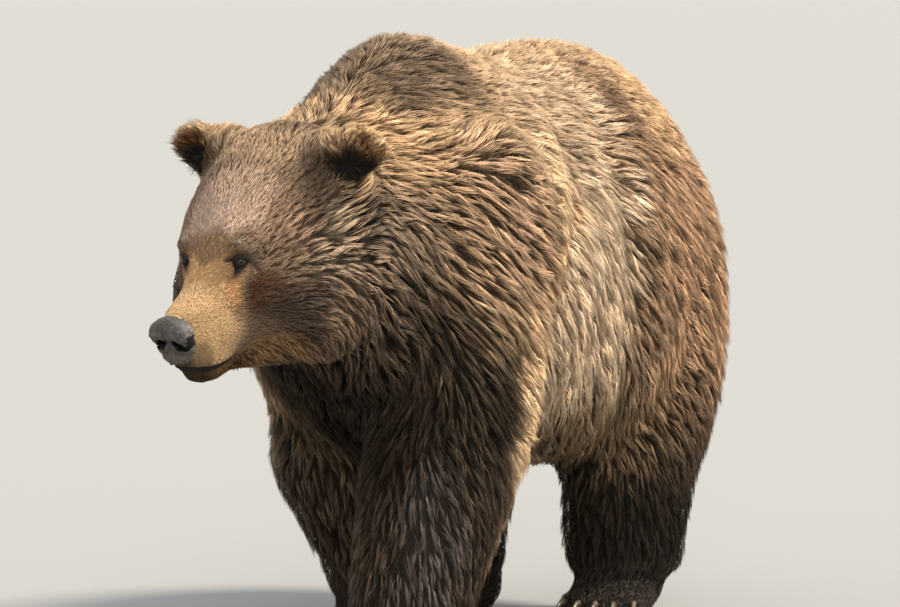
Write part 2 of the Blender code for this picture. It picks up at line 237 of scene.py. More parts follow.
def edges_of(mesh):
    return values_of(mesh.edges, "vertices", 2, np.int64)


def move_to(mesh, points):
    mesh.vertices.foreach_set("co", points.astype(np.float32).ravel())
    mesh.update()


def surface_of(mesh, points):
    """For finding the nearest place of the mesh, whose vertices are at those points."""
    faces = [tuple(polygon.vertices) for polygon in mesh.polygons]
    return BVHTree.FromPolygons([tuple(point) for point in points.tolist()], faces)


def smooth_shaded(mesh):
    mesh.polygons.foreach_set("use_smooth", np.ones(len(mesh.polygons), bool))


def coloured(mesh, colours):
    """Gives each point its colour, which the finishes read."""
    attribute = mesh.color_attributes.new("tone", "FLOAT_COLOR", "POINT")
    rgba = np.column_stack([colours, np.ones(len(colours))]).astype(np.float32)
    attribute.data.foreach_set("color", rgba.ravel())
    smooth_shaded(mesh)
    mesh.update()


def ball(bm, place, radii, segments=32):
    """A ball or egg at that place, turned as the place is."""
    bmesh.ops.create_uvsphere(
        bm,
        u_segments=segments,
        v_segments=segments // 2,
        radius=1.0,
        matrix=place @ Matrix.Diagonal((*radii, 1)),
    )


def solids_together(names, growth):
    """Copies of these solids, each grown by a hair so that neighbours run together."""
    whole = bmesh.new()
    for name in names:
        part = bmesh.new()
        part.from_mesh(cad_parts[name].data)
        bmesh.ops.remove_doubles(part, verts=part.verts, dist=0.00001)
        part.normal_update()
        for vert in part.verts:
            vert.co += vert.normal * growth
        mesh = as_mesh(part)
        whole.from_mesh(mesh)
        bpy.data.meshes.remove(mesh)
    return whole


# ---- the skin's shape

FLESH = sorted(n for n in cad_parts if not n.startswith(("claw", "eye", "nose")))
SOLIDS_GROWTH = 0.0006
SKIN_VOXEL = 0.0192
MAGNIFIED = 3.3
MAGNIFIED_MIDDLE = np.array(HEAD @ Vector((0, -0.14, -0.03)))
MAGNIFIED_RADIUS = 0.29


def magnified(points):
    """The head grown about its middle, so that even voxels are finer there."""
    away = points - MAGNIFIED_MIDDLE
    far = np.linalg.norm(away, axis=1, keepdims=True)
    more = 1 + (MAGNIFIED - 1) * MAGNIFIED_RADIUS / np.maximum(far, MAGNIFIED_RADIUS)
    return MAGNIFIED_MIDDLE + away * more


def restored(points):
    """Undoes magnified."""
    away = points - MAGNIFIED_MIDDLE
    far = np.linalg.norm(away, axis=1, keepdims=True)
    near = far / MAGNIFIED
    beyond = far - (MAGNIFIED - 1) * MAGNIFIED_RADIUS
    real = np.where(near < MAGNIFIED_RADIUS, near, beyond)
    return MAGNIFIED_MIDDLE + away * real / np.maximum(far, 1e-9)


def largest_island(bm):
    """Takes away all but the largest closed surface."""
    left = set(bm.verts)
    islands = []
    while left:
        front = [left.pop()]
        island = list(front)
        while front:
            vert = front.pop()
            around = [edge.other_vert(vert) for edge in vert.link_edges]
            new = [other for other in around if other in left]
            left.difference_update(new)
            island += new
            front += new
        islands.append(island)
    for island in sorted(islands, key=len)[:-1]:
        bmesh.ops.delete(bm, geom=island, context="VERTS")


def refined(bm, wanted):
    """Halves the faces whose middles, as an array, the wanted function accepts."""
    bm.faces.ensure_lookup_table()
    middles = np.array([face.calc_center_median() for face in bm.faces])
    chosen = np.nonzero(wanted(middles))[0]
    edges = {edge for i in chosen for edge in bm.faces[i].edges}
    bmesh.ops.subdivide_edges(bm, edges=list(edges), cuts=1, use_grid_fill=True)


# How far forward the corner of the mouth is, and the level of the lips' line at places forward.
MOUTH_CORNER = 0.24
MOUTH_FORWARD = (0.15, 0.2, 0.238, 0.262, 0.292, 0.335, 0.36)
MOUTH_LEVEL = (-0.132, -0.133, -0.138, -0.1445, -0.142, -0.128, -0.12)


def over_mouth(head):
    """How far above the line of the lips points of the head are."""
    return head[:, 2] - np.interp(-head[:, 1], MOUTH_FORWARD, MOUTH_LEVEL)


def from_eye(head):
    """Distance to the nearer eye's middle."""
    return from_middle(head, (EYE_SIDE, -EYE_FORWARD, 0), (1, 1, 1))


def on_paws(middles):
    return middles[:, 2] < 0.085


def on_face(middles):
    head = in_head_axes(middles)
    return (-head[:, 1] > 0.135) | (from_eye(head) < 0.04)


def by_lips_and_eyes(middles):
    head = in_head_axes(middles)
    lips = (-head[:, 1] > 0.2) & (np.abs(over_mouth(head)) < 0.016)
    return lips | (from_eye(head) < 0.026)


def by_eyes(middles):
    return from_eye(in_head_axes(middles)) < 0.0185


def skin_shape():
    """The closed surface of the whole flesh, finest on the face, out to the tips of the coat."""
    bm = solids_together([*FLESH, "eye_left", "eye_right", "nose"], SOLIDS_GROWTH)
    start = np.array([vert.co for vert in bm.verts])
    for vert, place in zip(bm.verts, magnified(start)):
        vert.co = place
    mesh = baked(bm, voxels(SKIN_VOXEL))
    move_to(mesh, restored(points_of(mesh)))
    bm = as_bmesh(mesh)
    largest_island(bm)
    every_way = {"use_axis_x": True, "use_axis_y": True, "use_axis_z": True}
    bmesh.ops.smooth_vert(bm, verts=bm.verts, factor=0.5, **every_way)
    for wanted in (on_paws, on_face, by_lips_and_eyes, by_eyes):
        refined(bm, wanted)
    bmesh.ops.triangulate(bm, faces=[face for face in bm.faces if len(face.verts) > 4])
    return as_mesh(bm)


# ---- lids, lips and folds

LID_WIDE = 0.8  # half the opening between the lids, as a sine seen from the eye's middle
LID_HIGH = 0.43
LID_DROOP = 0.16
LID_REACH = 0.04
BEYOND_LIDS = 9.0
IN_OPENING = 0.0022  # how far inside the ball's surface the skin lies there
LID_RISE = 0.0032  # how much higher the lids lie, and how much more their rims
RIM_RISE = 0.0012


def eye_axes(side):
    """Across, up and out of that eye."""
    out = Vector((side * EYE_LOOKS[0], *EYE_LOOKS[1:])).normalized()
    across = Vector((0, 0, 1)).cross(out).normalized()
    return np.array([across, out.cross(across), out])


def seen_from_eye(head, side):
    """Each point's place from that eye's middle, its distance, and 1 at the edge of the lids' opening."""
    away = head - np.array((side * EYE_SIDE, -EYE_FORWARD, 0))
    far = np.linalg.norm(away, axis=1)
    across, up, out = ((away / np.maximum(far, 1e-9)[:, None]) @ eye_axes(side).T).T
    opening = np.sqrt((across / LID_WIDE) ** 2 + ((up + LID_DROOP * across**2) / LID_HIGH) ** 2)
    return away, far, np.where((out > 0) & (far < LID_REACH), opening, BEYOND_LIDS)


def from_lids(head):
    """Below 1 in the opening of the lids and more outside it, for the nearer eye."""
    return np.minimum(seen_from_eye(head, 1)[2], seen_from_eye(head, -1)[2])


def lids(head):
    """Opens the lids over each eye and wraps their edges round the ball."""
    moved = head.copy()
    for side in (1, -1):
        away, far, opening = seen_from_eye(head, side)
        edge = step(0.86, 1.02, opening) * (LID_RISE + RIM_RISE * bell(opening, 1.2, 0.14))
        wrap = EYE_RADIUS - IN_OPENING + edge
        keep = step(1.2, 1.95, opening)
        goal = np.where(far > wrap, wrap + (far - wrap) * keep, far)
        target = head + away * (np.maximum(goal, wrap) / np.maximum(far, 1e-9) - 1)[:, None]
        seen = opening < BEYOND_LIDS
        moved[seen] = target[seen]
    return moved


def swelling(head, forms):
    """How far out each point of the head moves by forms given as centre, radii and height."""
    out = np.zeros(len(head))
    for centre, radii, height in forms:
        out += height * (1 - step(0, 1, from_middle(head * (1, -1, 1), centre, radii)))
    return out


FACE_FORMS = [
    ((0.056, 0.182, 0.02), (0.03, 0.03, 0.016), 0.003),  # brow over the eye
    ((0, 0.175, 0.03), (0.014, 0.05, 0.034), -0.003),  # furrow between the brows
    ((0.048, 0.212, -0.008), (0.017, 0.022, 0.014), -0.0036),  # inner corner of the eye
    ((0.078, 0.17, -0.004), (0.02, 0.018, 0.014), -0.002),  # outer corner
    ((0.072, 0.165, -0.034), (0.03, 0.04, 0.02), 0.003),  # cheekbone
    ((0.058, 0.232, -0.07), (0.02, 0.04, 0.03), -0.003),  # hollow of the muzzle's side
    ((0.034, 0.3, -0.108), (0.026, 0.04, 0.024), 0.0028),  # whisker pad
    ((0.03, 0.336, -0.112), (0.02, 0.026, 0.024), -0.005),  # upper lip beside the pad
]
# The line of the lips and the swelling of each lip: how far above the line, how wide, how far out.
LIP_FORMS = [(0, 0.0019, -0.0042), (0.0055, 0.0034, 0.0016), (-0.006, 0.0036, 0.0012)]

# Where the shoulder ends and where the haunch starts: along, for each height.
FOLD_HEIGHTS = (0.36, 0.46, 0.55, 0.66, 0.8, 0.9)
SHOULDER_EDGE = (-0.19, -0.185, -0.16, -0.075, 0.02, 0.04)
HAUNCH_EDGE = (0.33, 0.25, 0.225, 0.235, 0.245, 0.28)
FOLDS = ((SHOULDER_EDGE, 0.01, 0.022), (HAUNCH_EDGE, -0.016, -0.006))  # heights of ridge and valley


def face_folds(head):
    """How far each point of the face moves outwards."""
    out = swelling(head, FACE_FORMS)
    above = over_mouth(head)
    lips = step(MOUTH_CORNER - 0.01, MOUTH_CORNER + 0.014, -head[:, 1])
    for level, width, height in LIP_FORMS:
        out += height * lips * bell(above, level, width)
    return out


def behind(points, edge):
    """How far behind that edge points of the body are."""
    return points[:, 1] - np.interp(points[:, 2], FOLD_HEIGHTS, edge)


def body_folds(points):
    """How far each point of the body moves outwards, at the edges of shoulders and haunches."""
    side = step(0.1, 0.2, np.abs(points[:, 0])) * step(0.94, 0.84, points[:, 2])
    side *= step(0.3, 0.4, points[:, 2])
    out = np.zeros(len(points))
    for edge, ridge, valley in FOLDS:
        past = behind(points, edge)
        out += side * ridge * bell(past, -0.035, 0.045)
        out -= side * valley * bell(past, 0.04, 0.05)
    return out


# ---- what grows where

# Of each part: length of its locks, depth of its coat, width of a lock, and colours at root and tip.
COATS = {
    "trunk": (0.054, 0.022, 0.0019, (0.094, 0.051, 0.026), (0.631, 0.427, 0.255)),
    "neck": (0.052, 0.021, 0.0019, (0.012, 0.006, 0.004), (0.41, 0.28, 0.18)),
    "upper_arm": (0.048, 0.02, 0.0019, (0.002, 0.001, 0.001), (0.032, 0.022, 0.013)),
    "forearm": (0.038, 0.015, 0.0016, (0.008, 0.005, 0.003), (0.15, 0.102, 0.07)),
    "front_paw": (0.018, 0.005, 0.0015, (0.01, 0.008, 0.007), (0.072, 0.058, 0.049)),
    "thigh": (0.054, 0.022, 0.0019, (0.018, 0.008, 0.004), (0.613, 0.38, 0.221)),
    "shank": (0.036, 0.015, 0.0016, (0.003, 0.003, 0.002), (0.024, 0.018, 0.013)),
    "hind_paw": (0.018, 0.005, 0.0015, (0.01, 0.008, 0.007), (0.076, 0.06, 0.049)),
    "tail": (0.044, 0.016, 0.002, (0.038, 0.019, 0.009), (0.357, 0.225, 0.132)),
    "head": (0.02, 0.008, 0.0014, (0.068, 0.041, 0.025), (0.286, 0.19, 0.122)),
    "lower_jaw": (0.012, 0.004, 0.0012, (0.051, 0.025, 0.011), (0.255, 0.153, 0.068)),
    "ear": (0.023, 0.006, 0.0011, (0.26, 0.138, 0.062), (0.96, 0.68, 0.4)),
}
FIELDS = ("length", "depth", "width", "root", "tip")
COLOURS = ("root", "tip")

# Marks over those colours: their middle, how far they reach, and colours at root and tip.
HEAD_MARKS = [
    ((0, 0.128, 0.078), (0.092, 0.1, 0.068), (0.255, 0.169, 0.11), (0.565, 0.397, 0.292)),  # forehead
    ((0.04, 0.015, 0.135), (0.1, 0.06, 0.05), (0.126, 0.082, 0.049), (0.52, 0.353, 0.223)),  # crown
    ((0.1, 0.12, 0.035), (0.055, 0.06, 0.045), (0.104, 0.063, 0.041), (0.378, 0.236, 0.151)),  # temple
    ((0, 0.305, -0.062), (0.16, 0.115, 0.095), (0.27, 0.174, 0.084), (0.602, 0.396, 0.207)),  # muzzle
    ((0.03, 0.215, -0.012), (0.04, 0.034, 0.036), (0.33, 0.192, 0.092), (0.86, 0.52, 0.25)),  # its base
    ((0.078, 0.185, -0.058), (0.034, 0.036, 0.04), (0.03, 0.014, 0.007), (0.14, 0.062, 0.03)),  # below eye
    ((0.118, 0.14, -0.095), (0.062, 0.062, 0.066), (0.007, 0.004, 0.003), (0.135, 0.086, 0.058)),  # cheek
    ((0.15, 0.065, -0.035), (0.05, 0.06, 0.05), (0.008, 0.005, 0.003), (0.5, 0.35, 0.23)),  # behind it
    ((0.15, 0.034, 0.018), (0.03, 0.032, 0.028), (0.2, 0.142, 0.086), (0.46, 0.35, 0.226)),  # below ear
    ((0.168, -0.055, -0.012), (0.052, 0.056, 0.06), (0.007, 0.005, 0.003), (0.06, 0.042, 0.031)),  # past it
    ((0.075, 0.165, -0.162), (0.07, 0.09, 0.036), (0.052, 0.025, 0.01), (0.463, 0.258, 0.129)),  # jaw
    ((0, 0.25, -0.162), (0.08, 0.06, 0.022), (0.04, 0.015, 0.004), (0.18, 0.07, 0.017)),  # chin
    ((0, 0.3, -0.16), (0.04, 0.034, 0.022), (0.022, 0.011, 0.005), (0.06, 0.031, 0.013)),  # chin's tip
    ((0, 0.15, 0.064), (0.075, 0.06, 0.036), (0.31, 0.206, 0.146), (0.71, 0.512, 0.388)),  # its foot
    ((0.052, 0.222, -0.04), (0.013, 0.018, 0.038), (0.25, 0.122, 0.052), (0.62, 0.345, 0.16)),  # mask's edge
    ((0.112, 0.024, 0.09), (0.026, 0.042, 0.05), (0.055, 0.034, 0.02), (0.21, 0.136, 0.084)),  # before ear
    ((0.215, -0.065, 0.085), (0.05, 0.04, 0.06), (0.09, 0.052, 0.028), (0.4, 0.26, 0.15)),  # past ear
    # Top of the muzzle: paler fur, with painted light where the top faces up.
    ((0, 0.285, -0.036), (0.036, 0.085, 0.03), (0.36, 0.236, 0.122), (0.74, 0.492, 0.27)),  # bridge
    ((0, 0.332, -0.122), (0.05, 0.03, 0.018), (0.04, 0.027, 0.016), (0.12, 0.08, 0.045)),  # lip's front
    ((0, 0.192, 0.022), (0.04, 0.04, 0.02), (0.18, 0.105, 0.055), (0.5, 0.31, 0.17)),  # between eyes
    ((0.056, 0.188, 0.032), (0.007, 0.012, 0.004), (0.2, 0.16, 0.13), (0.48, 0.41, 0.36)),  # pale fleck
    ((0.052, 0.207, -0.004), (0.028, 0.03, 0.022), (0.012, 0.01, 0.009), (0.034, 0.028, 0.028)),  # round eye
]
BODY_MARKS = [
    ((0.1, -0.42, 0.9), (0.15, 0.12, 0.11), (0.162, 0.091, 0.041), (0.759, 0.504, 0.288)),  # nape
    ((0.05, -0.32, 0.985), (0.16, 0.1, 0.085), (0.036, 0.022, 0.013), (0.23, 0.153, 0.095)),  # before hump
    ((0.06, -0.21, 1.01), (0.16, 0.12, 0.1), (0.045, 0.027, 0.017), (0.251, 0.173, 0.113)),  # hump
    ((0.15, 0.12, 0.93), (0.22, 0.2, 0.11), (0.196, 0.118, 0.064), (0.718, 0.519, 0.347)),  # back
    ((0.19, 0.345, 0.86), (0.17, 0.06, 0.19), (0.034, 0.016, 0.008), (0.29, 0.17, 0.096)),  # loin
    ((0.2, 0.52, 0.87), (0.2, 0.12, 0.12), (0.06, 0.03, 0.013), (0.88, 0.575, 0.31)),  # croup
    ((0.26, -0.28, 0.75), (0.14, 0.13, 0.15), (0.008, 0.003, 0.002), (0.79, 0.515, 0.322)),  # shoulder
    ((0, 0.15, 0.36), (0.4, 0.4, 0.09), (0.022, 0.014, 0.007), (0.31, 0.203, 0.109)),  # belly
    ((0.235, -0.03, 0.8), (0.06, 0.1, 0.14), (0.3, 0.19, 0.11), (0.96, 0.74, 0.49)),  # behind it
    ((0.16, -0.5, 0.7), (0.1, 0.1, 0.12), (0.01, 0.006, 0.004), (0.47, 0.33, 0.222)),  # side of the neck
    # Throat and chest: dark fur, made darker still as painted shade under the head.
    ((0, -0.43, 0.49), (0.25, 0.21, 0.17), (0.003, 0.001, 0.001), (0.029, 0.016, 0.01)),  # throat
    # Between the forelegs: near black, dark fur with painted shade laid over it.
    ((0.04, -0.29, 0.4), (0.11, 0.1, 0.11), (0.001, 0, 0), (0.005, 0.004, 0.003)),  # between the legs
    ((0.2, -0.43, 0.52), (0.12, 0.12, 0.17), (0.003, 0.002, 0.001), (0.1, 0.066, 0.041)),  # upper arm
    # Front of the forelegs' tops: dark fur darkened further as painted shade.
    ((0.13, -0.43, 0.38), (0.11, 0.11, 0.15), (0.004, 0.003, 0.002), (0.052, 0.034, 0.021)),  # its front
    ((0.185, -0.44, 0.24), (0.06, 0.09, 0.17), (0.012, 0.009, 0.007), (0.19, 0.152, 0.13)),  # foreleg's side
    ((0.25, -0.25, 0.25), (0.09, 0.055, 0.16), (0.06, 0.036, 0.02), (0.38, 0.25, 0.155)),  # foreleg's back
    # Painted rim light: a bright golden band down the rear edge of the upper foreleg.
    ((0.292, -0.236, 0.42), (0.074, 0.078, 0.18), (0.62, 0.39, 0.225), (0.97, 0.75, 0.48)),  # elbow
]
# Bands between the edges of shoulder and haunch: colours at root and tip.
# Painted rim light: a bright band along the shoulder's rear edge.
SHOULDER_RIM_LIGHT = ((0.66, 0.374, 0.198), (0.97, 0.736, 0.446))
# Pale flank: partly the fur's own colour, partly painted light on the side.
FLANK_PALE_AND_LIT = ((0.64, 0.445, 0.295), (0.97, 0.805, 0.585))
# Painted shade: a dark band in the crease at the haunch's front edge.
HAUNCH_FOLD_SHADE = ((0.024, 0.011, 0.005), (0.4, 0.23, 0.125))
HAUNCH = ((0.044, 0.021, 0.01), (0.85, 0.535, 0.32))
EAR_MARKS = [
    ((0.17, -0.004, 0.09), (0.066, 0.044, 0.052), (0.062, 0.026, 0.01), (0.28, 0.13, 0.052)),  # velvet
    ((0.158, -0.006, 0.082), (0.05, 0.04, 0.038), (0.005, 0.004, 0.003), (0.014, 0.01, 0.008)),  # hollow
]
NEAR_LIPS = ((0.03, 0.02, 0.012), (0.11, 0.07, 0.038))
LIP_COLOUR = (0.013, 0.0105, 0.0085)
SOLE_COLOUR = (0.02, 0.016, 0.014)
# Places forward on the head, the face's own fields there, and how much less they are on the forehead.
FACE_FORWARD = (-0.1, 0, 0.06, 0.11, 0.16, 0.21, 0.34)
FACE_COAT = {
    "length": ((0.052, 0.046, 0.04, 0.029, 0.015, 0.007, 0.0052), 0.62),
    "depth": ((0.02, 0.016, 0.011, 0.0065, 0.0036, 0.0024, 0.002), 0.5),
    "width": ((0.0021, 0.0019, 0.0017, 0.0014, 0.0012, 0.001, 0.0009), 0.3),
}
FRINGE = 0.03  # how long the hair hangs under the jaw
OVERLAP = 1.68  # how often locks cover the skin, as a share of these layers for their length
LAYER_LENGTHS = (0.005, 0.012, 0.03, 0.05)
LAYERS = (1.2, 1.7, 1.9, 3.0)

# The way the coat lies at places of the body: along and up of the place, then back and down of the lie.
LIES = [
    ((-0.45, 0.9), (0.94, -0.35)),  # nape
    ((-0.25, 1.0), (0.9, -0.44)),  # hump
    ((0.3, 0.98), (0.9, -0.44)),  # back
    ((0.7, 0.9), (0.75, -0.66)),  # croup
    ((-0.45, 0.68), (0.8, -0.6)),  # side of the neck
    ((-0.25, 0.76), (0.8, -0.6)),  # shoulder
    ((-0.25, 0.5), (0.5, -0.87)),  # upper arm
    ((0.08, 0.6), (0.36, -0.93)),  # flank
    ((0.35, 0.64), (0.6, -0.8)),  # haunch
    ((0.6, 0.5), (0.5, -0.87)),  # thigh
    ((0.1, 0.35), (0.5, -0.87)),  # belly
]
LEG_LIES = {
    "forearm": (0, 0.22, -0.97),
    "shank": (0, 0.22, -0.97),
    "front_paw": (0, -0.8, -0.6),
    "hind_paw": (0, -0.8, -0.6),
    "tail": (0, 0.15, -0.99),
}
# In the head's axes: hair lies away from these.
NOSE_TIP = (0, -0.36, -0.07)
EAR_BASE = (0.12, 0.05, 0.06)


def kind_of(node):
    """trunk, forearm, ear and so on, without its side."""
    return node.replace("_left", "").replace("_right", "")


KINDS = np.array([kind_of(name) for name in FLESH])


def nearest_parts(points):
    """The number in FLESH of the solid nearest to each point."""
    verts, faces, owner = [], [], []
    for number, name in enumerate(FLESH):
        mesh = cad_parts[name].data
        first = len(verts)
        verts.extend(vert.co.copy() for vert in mesh.vertices)
        faces.extend([first + i for i in polygon.vertices] for polygon in mesh.polygons)
        owner.extend([number] * len(mesh.polygons))
    tree = BVHTree.FromPolygons(verts, faces)
    return np.array([owner[tree.find_nearest(point)[2]] for point in points])


def tinted(coat, colours, share):
    """Lays colours at root and tip over the coat's own."""
    for key, colour in zip(COLOURS, colours):
        laid_over(coat[key], colour, share)


def painted(places, marks, coat, wander, soft):
    """Lays the marks over the coat's colours, one after another, with edges that soft."""
    for number, (centre, radii, *colours) in enumerate(marks):
        far = from_middle(places, centre, radii)
        far += 0.16 * drift(places, wander, 40 + number)
        tinted(coat, colours, 1 - step(0.85 - soft, 0.85 + soft, far))


def banded(points, coat):
    """Lays on the sides the pale flank, partly painted light, the shoulder's painted rim light, the painted
    shade in the haunch's fold and the brown haunch.
    """
    ragged = 0.03 * drift(points, 0.16, 61) + 0.026 * drift(points, 0.05, 62)
    past_shoulder = behind(points, SHOULDER_EDGE) + ragged
    past_haunch = behind(points, HAUNCH_EDGE) + ragged
    side = step(0.1, 0.2, np.abs(points[:, 0])) * step(0.95, 0.76, points[:, 2] + ragged)
    side *= step(0.34, 0.54, points[:, 2] + ragged)
    streaks = 0.78 + 0.22 * drift(points * (1, 1, 0.35), 0.055, 63)
    haunch = step(-0.07, 0.09, past_haunch)
    bands = [
        (HAUNCH, haunch),
        (FLANK_PALE_AND_LIT, step(-0.04, 0.04, past_shoulder) * (1 - haunch) * streaks),
        (HAUNCH_FOLD_SHADE, bell(past_haunch, 0.02, 0.03)),
        (SHOULDER_RIM_LIGHT, bell(past_shoulder, -0.022, 0.036)),
    ]
    for colours, share in bands:
        tinted(coat, colours, np.clip(side * share, 0, 1))


def under_jaw(head):
    """1 along the lower edge of the jaw, where a short fringe hangs."""
    forward = -head[:, 1]
    return step(-0.136, -0.152, head[:, 2]) * step(0.268, 0.236, forward) * step(0.04, 0.1, forward)


def face_lengths(head, fields, weight):
    """Short hair on the muzzle that grows longer back to the cheeks."""
    above = step(0.02, 0.075, head[:, 2])
    for key, (values, less_above) in FACE_COAT.items():
        along = np.interp(-head[:, 1], FACE_FORWARD, values)
        fields[key] += weight * (along * (1 - less_above * above) - fields[key])
    fields["length"] += under_jaw(head) * np.maximum(FRINGE - fields["length"], 0)


def away_from_nose(head):
    """The way the hair lies on the head: back from the nose, and down on the cheeks."""
    lie = unit(head - np.array(NOSE_TIP))
    low = step(0.03, -0.12, head[:, 2]) * step(0.24, 0.08, -head[:, 1])
    lie += low[:, None] * np.array((0, 0, -0.75))
    lie += under_jaw(head)[:, None] * np.array((0, 0, -1.4))
    return turned_with_head(unit(lie))


def body_lie(points):
    """The way the coat lies on the trunk, from the nearest of its places."""
    total = np.zeros((len(points), 3))
    for (along, up), (back, down) in LIES:
        far = np.hypot(points[:, 1] - along, points[:, 2] - up)
        total += bell(far, 0, 0.14)[:, None] * np.array((0, back, down))
    return unit(total + np.array((0, 0.0006, -0.0008)))


def lie_of(points, head, kinds):
    """The way the coat lies, before it is smoothed over the surface."""
    lie = body_lie(points)
    for kind, way in LEG_LIES.items():
        lie[kinds == kind] = way
    on_head = np.isin(kinds, ("head", "lower_jaw"))
    lie[on_head] = away_from_nose(head)[on_head]
    ears = kinds == "ear"
    sides = np.sign(head[:, :1]) * np.array((1, 0, 0)) + np.array((0, 1, 1))
    lie[ears] = turned_with_head(unit(head - np.array(EAR_BASE) * sides))[ears]
    return lie


def lip_band(head):
    """1 on the bare dark lips: a thin edge above, and below a band that widens to the chin's tip."""
    forward, above = -head[:, 1], over_mouth(head)
    low = np.interp(forward, (0.236, 0.262, 0.282, 0.3), (0.002, 0.004, 0.007, 0.011))
    inside = step(0.0032, 0.0006, above) * step(-1.6, -0.6, above / low)
    return inside * step(MOUTH_CORNER - 0.006, MOUTH_CORNER + 0.014, forward)


def bare_places(points, head, normals, pad):
    """1 on the soles, the lips, the edges of the lids and under the nose pad."""
    soles = step(0.016, 0.006, points[:, 2]) * step(-0.3, -0.7, normals[:, 2])
    eyes = step(1.4, 1.15, from_lids(head))
    nose = step(0.001, -0.0005, pad)
    return np.clip(soles + lip_band(head) + eyes + nose, 0, 1)


def outside_pad(pad, points):
    """How far each point is outside the nose pad, and 1 where that is far."""
    away = np.ones(len(points))
    near = np.nonzero(-in_head_axes(points)[:, 1] > 0.27)[0]
    for i, place in zip(near.tolist(), points[near].tolist()):
        ground, normal, _, _ = pad.find_nearest(place)
        away[i] = (Vector(place) - ground).dot(normal)
    return away


def own_coats(points, edges, parts):
    """Each part's own coat, run together where they meet. The hind leg's darkens downwards."""
    rows = [COATS[kind] for kind in KINDS]
    fields = {key: np.array([row[i] for row in rows])[parts] for i, key in enumerate(FIELDS)}
    hind = np.isin(KINDS[parts], ("thigh", "shank"))
    lower = step(0.56, 0.2, points[hind, 2] + 0.04 * drift(points[hind], 0.07, 64))[:, None]
    for key in COLOURS:
        thigh, shank = (np.array(COATS[kind][FIELDS.index(key)]) for kind in ("thigh", "shank"))
        fields[key][hind] = thigh * (1 - lower) + shank * lower
    for key in FIELDS:
        fields[key] = spread(fields[key], edges, 10 if key == "width" else 36)
    return fields


def paint_coat(points, head, ears, near_head, fields):
    """Lays every mark over the coat's colours."""
    painted(points, BODY_MARKS, fields, 0.16, 0.42)
    banded(points, fields)
    places = head * (1, -1, 1)
    face = {key: fields[key].copy() for key in COLOURS}
    painted(places, HEAD_MARKS, face, 0.07, 0.31)
    near_lips = bell(over_mouth(head), -0.002, 0.008) * step(0.225, 0.262, -head[:, 1])
    tinted(face, NEAR_LIPS, 0.75 * near_lips)
    ear = {key: face[key][ears] for key in COLOURS}
    painted(places[ears], EAR_MARKS, ear, 0.03, 0.16)
    for key in COLOURS:
        face[key][ears] = ear[key]
        fields[key] += near_head[:, None] * (face[key] - fields[key])


def skin_fields(mesh, pad):
    """Everything that the coat and the colours need to know at each point of the skin."""
    points, normals, edges = points_of(mesh), normals_of(mesh), edges_of(mesh)
    parts = nearest_parts(points)
    head, kinds = in_head_axes(points), KINDS[parts]
    fields = own_coats(points, edges, parts)

    # Shorter on hump, back and croup, longer on the belly, and short on the face.
    high = step(0.8, 0.97, points[:, 2]) * (points[:, 1] > -0.5)
    low = step(0.78, 0.6, points[:, 2]) * (kinds == "trunk")
    fields["length"] *= 1 - 0.48 * high
    fields["width"] *= 1 - 0.2 * high
    fields["length"] *= 1 + 0.15 * spread(low, edges, 20)
    skull, ears = np.isin(kinds, ("head", "lower_jaw")), kinds == "ear"
    face_lengths(head, fields, spread(skull, edges, 24))
    near_head = spread(skull | ears, edges, 24)
    paint_coat(points, head, ears, near_head, fields)

    lie = spread(lie_of(points, head, kinds), edges, 14)
    swirl = np.cross(normals, lie) * (0.17 * drift(points, 0.16, 3))[:, None]
    pad = outside_pad(pad, points - normals * 0.002)
    bare = bare_places(points, head, normals, pad)
    by_lids = step(2.6, 1.4, from_lids(head))
    for key in ("length", "depth"):
        fields[key] *= 1 - 0.75 * bare
        fields[key] *= 1 - 0.6 * by_lids
    loose = 0.3 * (1 - near_head) + 0.95 * spread(ears, edges, 3) + 0.9 * under_jaw(head)
    legs = np.isin(kinds, ("forearm", "shank", "front_paw", "hind_paw"))
    layers = np.interp(fields["length"], LAYER_LENGTHS, LAYERS) * (1 - 0.3 * spread(legs, edges, 6))
    thick = OVERLAP * layers * (1 - step(0.35, 0.65, bare)) / (fields["width"] * fields["length"])
    return fields | {
        "parts": parts,
        "pad": pad,
        "lie": flattened(lie + swirl, normals),
        "loose": np.clip(loose, 0, 1),
        "clumped": step(0.01, 0.034, fields["length"]) * (1 - 0.75 * high),
        "thick": thick,
    }


# ---- the finished skin

RUFF = (-0.045, 0.07)  # how far forward the groove at the ruff is eased away, and how wide
LOWEST_SKIN = 0.0006
# Past this far forward the skin is pressed back under the nose pad by that share, and narrowed.
MUZZLE_END = 0.319
PRESSED_BACK = 0.78


def inside_coat(mesh, fields, edges):
    """The skin's points, moved in by the coat's depth and eased over the ruff."""
    points = points_of(mesh)
    depth = fields["depth"]
    thick = step(0.006, 0.02, depth)[:, None]
    for _ in range(4):
        points = points - normals_of(mesh) * (depth / 4)[:, None]
        points = points + thick * 0.8 * (spread(points, edges, 2) - points)
        move_to(mesh, points)
    head = in_head_axes(points)
    ruff = bell(-head[:, 1], *RUFF) * step(0.11, 0.05, head[:, 2])
    ruff *= (points[:, 2] > 0.48) & (points[:, 1] < -0.35)
    ruff = spread(ruff, edges, 10)[:, None]
    points = points + ruff * (spread_where(points, edges, ruff[:, 0] > 0.01, 320) - points)
    points[:, 2] = np.maximum(points[:, 2], LOWEST_SKIN)
    return points


